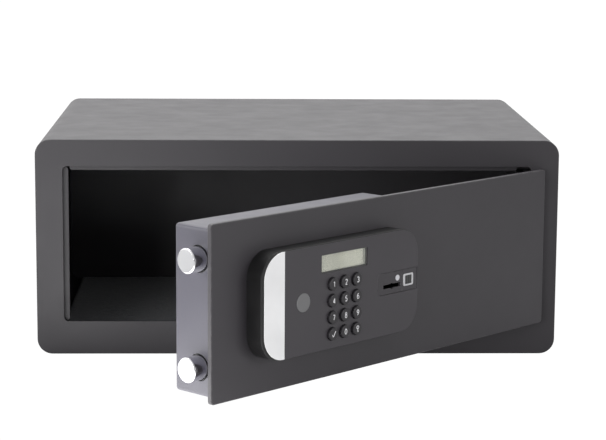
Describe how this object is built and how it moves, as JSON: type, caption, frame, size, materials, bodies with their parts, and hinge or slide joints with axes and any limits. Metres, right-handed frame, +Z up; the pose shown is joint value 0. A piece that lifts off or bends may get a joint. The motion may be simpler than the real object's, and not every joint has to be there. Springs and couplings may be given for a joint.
{
  "type": "in room safe",
  "caption": "Low wide steel hotel room safe with a swinging door, throwing bolts, round-key keypad, display, fingerprint reader and emergency key lock.",
  "frame": {"origin": "centre of the cabinet's base, on the surface the safe stands on", "axes": "+X to the right seen from the front, +Y from the front to the rear panel, +Z up"},
  "size_m": [0.48, 0.6596, 0.2],
  "materials": {
    "cabinet_paint": "fine satin graphite powder coat",
    "inner_paint": "matte near-black paint",
    "mat_fabric": "short needle-punched pile",
    "pin_steel": "turned steel",
    "door_paint": "fine satin graphite powder coat",
    "arm_paint": "satin dark paint",
    "housing_paint": "satin graphite powder coat",
    "zinc_steel": "zinc plated steel",
    "screw_steel": "bright zinc",
    "guide_plastic": "black moulded nylon",
    "bolt_chrome": "bright chrome plated steel",
    "gear_brass": "machined brass",
    "gearbox_metal": "cast zinc",
    "motor_can": "drawn steel can",
    "circuit_board": "solder mask",
    "tray_plastic": "black moulded plastic",
    "cell_wrap": "plain printed sleeve",
    "cover_plastic": "textured black plastic",
    "reset_plastic": "red plastic",
    "unit_plastic": "fine textured black plastic",
    "face_plastic": "satin dark grey plastic",
    "trim_silver": "satin silver",
    "badge_silver": "satin grey metal, blank",
    "display_glass": "clear window",
    "display_cell": "unlit liquid crystal cell",
    "mat_rubber": "silicone sheet",
    "key_plastic": "satin dark key caps with light legends",
    "panel_plastic": "satin dark grey plastic",
    "bezel_silver": "bright metal frame",
    "sensor_black": "black ribbed sensor window",
    "lamp_white": "white diffusing lens",
    "lock_metal": "die-cast zinc",
    "plug_black": "blackened steel",
    "ribbon_plastic": "flat flexible cable"
  },
  "bodies": {
    "cabinet": {"cabinet_wrap": "cabinet_paint", "front_frame": "cabinet_paint", "rear_panel": "cabinet_paint", "side_stop": "cabinet_paint", "top_stop": "cabinet_paint", "bolt_keeper": "inner_paint", "floor_mat": "mat_fabric", "upper_hinge_bracket": "inner_paint", "lower_hinge_bracket": "inner_paint", "hinge_pins": "pin_steel"},
    "door": {"door_plate": "door_paint", "upper_hinge_arm": "arm_paint", "lower_hinge_arm": "arm_paint", "lock_housing": "housing_paint", "housing_posts": "zinc_steel", "housing_screws": "screw_steel", "bolt_guides": "guide_plastic", "drive_gearbox": "gearbox_metal", "drive_motor": "motor_can", "chassis_plate": "zinc_steel", "control_board": "circuit_board", "battery_tray": "tray_plastic", "batteries": "cell_wrap", "cover_rails": "zinc_steel", "keypad_housing": "unit_plastic", "keypad_screws": "screw_steel", "keypad_face": "face_plastic", "end_trim": "trim_silver", "badge": "badge_silver", "lcd_window": "display_glass", "lcd_module": "display_cell", "key_mat": "mat_rubber", "keypad_board": "circuit_board", "reader_panel": "panel_plastic", "sensor_bezel": "bezel_silver", "fingerprint_sensor": "sensor_black", "indicator_lens": "lamp_white", "override_lock_body": "lock_metal", "ribbon_cable": "ribbon_plastic"},
    "bolts": {"upper_bolt": "bolt_chrome", "lower_bolt": "bolt_chrome", "bolt_bar": "zinc_steel", "bolt_screws": "screw_steel"},
    "pinion": {"drive_pinion": "gear_brass"},
    "plug": {"override_plug": "plug_black"},
    "battery_lid": {"battery_cover": "cover_plastic"},
    "reset": {"reset_button": "reset_plastic"},
    "button_1": {"key_1": "key_plastic"},
    "button_2": {"key_2": "key_plastic"},
    "button_3": {"key_3": "key_plastic"},
    "button_4": {"key_4": "key_plastic"},
    "button_5": {"key_5": "key_plastic"},
    "button_6": {"key_6": "key_plastic"},
    "button_7": {"key_7": "key_plastic"},
    "button_8": {"key_8": "key_plastic"},
    "button_9": {"key_9": "key_plastic"},
    "button_enter": {"key_enter": "key_plastic"},
    "button_0": {"key_0": "key_plastic"},
    "button_lock": {"key_lock": "key_plastic"}
  },
  "joints": [
    {"name": "door_swing", "type": "hinge", "parent": "cabinet", "child": "door", "pos_m": [0.23, -0.1615, 0.1], "axis": [0, 0, 1], "range_deg": [-45, 50]},
    {"name": "bolt_slide", "type": "slide", "parent": "door", "child": "bolts", "axis": [0.7071, 0.7071, 0], "range_m": [0, 0.0135]},
    {"name": "pinion_spin", "type": "hinge", "parent": "door", "child": "pinion", "pos_m": [-0.0334, -0.4157, 0.0934], "axis": [-0.7071, 0.7071, 0], "range_deg": [-2, 100]},
    {"name": "override_turn", "type": "hinge", "parent": "door", "child": "plug", "pos_m": [0.06185, -0.34874, 0.1019], "axis": [0.7071, -0.7071, 0], "range_deg": [0, 90]},
    {"name": "battery_lid_slide", "type": "slide", "parent": "door", "child": "battery_lid", "axis": [0.7071, 0.7071, 0], "range_m": [0, 0.054]},
    {"name": "reset_press", "type": "slide", "parent": "door", "child": "reset", "axis": [0.7071, -0.7071, 0], "range_m": [0, 0.0012], "stiffness_N_per_m": 400},
    {"name": "press_1", "type": "slide", "parent": "door", "child": "button_1", "axis": [-0.7071, 0.7071, 0], "range_m": [0, 0.001], "stiffness_N_per_m": 600},
    {"name": "press_2", "type": "slide", "parent": "door", "child": "button_2", "axis": [-0.7071, 0.7071, 0], "range_m": [0, 0.001], "stiffness_N_per_m": 600},
    {"name": "press_3", "type": "slide", "parent": "door", "child": "button_3", "axis": [-0.7071, 0.7071, 0], "range_m": [0, 0.001], "stiffness_N_per_m": 600},
    {"name": "press_4", "type": "slide", "parent": "door", "child": "button_4", "axis": [-0.7071, 0.7071, 0], "range_m": [0, 0.001], "stiffness_N_per_m": 600},
    {"name": "press_5", "type": "slide", "parent": "door", "child": "button_5", "axis": [-0.7071, 0.7071, 0], "range_m": [0, 0.001], "stiffness_N_per_m": 600},
    {"name": "press_6", "type": "slide", "parent": "door", "child": "button_6", "axis": [-0.7071, 0.7071, 0], "range_m": [0, 0.001], "stiffness_N_per_m": 600},
    {"name": "press_7", "type": "slide", "parent": "door", "child": "button_7", "axis": [-0.7071, 0.7071, 0], "range_m": [0, 0.001], "stiffness_N_per_m": 600},
    {"name": "press_8", "type": "slide", "parent": "door", "child": "button_8", "axis": [-0.7071, 0.7071, 0], "range_m": [0, 0.001], "stiffness_N_per_m": 600},
    {"name": "press_9", "type": "slide", "parent": "door", "child": "button_9", "axis": [-0.7071, 0.7071, 0], "range_m": [0, 0.001], "stiffness_N_per_m": 600},
    {"name": "press_enter", "type": "slide", "parent": "door", "child": "button_enter", "axis": [-0.7071, 0.7071, 0], "range_m": [0, 0.001], "stiffness_N_per_m": 600},
    {"name": "press_0", "type": "slide", "parent": "door", "child": "button_0", "axis": [-0.7071, 0.7071, 0], "range_m": [0, 0.001], "stiffness_N_per_m": 600},
    {"name": "press_lock", "type": "slide", "parent": "door", "child": "button_lock", "axis": [-0.7071, 0.7071, 0], "range_m": [0, 0.001], "stiffness_N_per_m": 600}
  ],
  "couplings": [
    {"joint": "pinion_spin", "follows": "bolt_slide", "rad_per_m": 125}
  ]
}
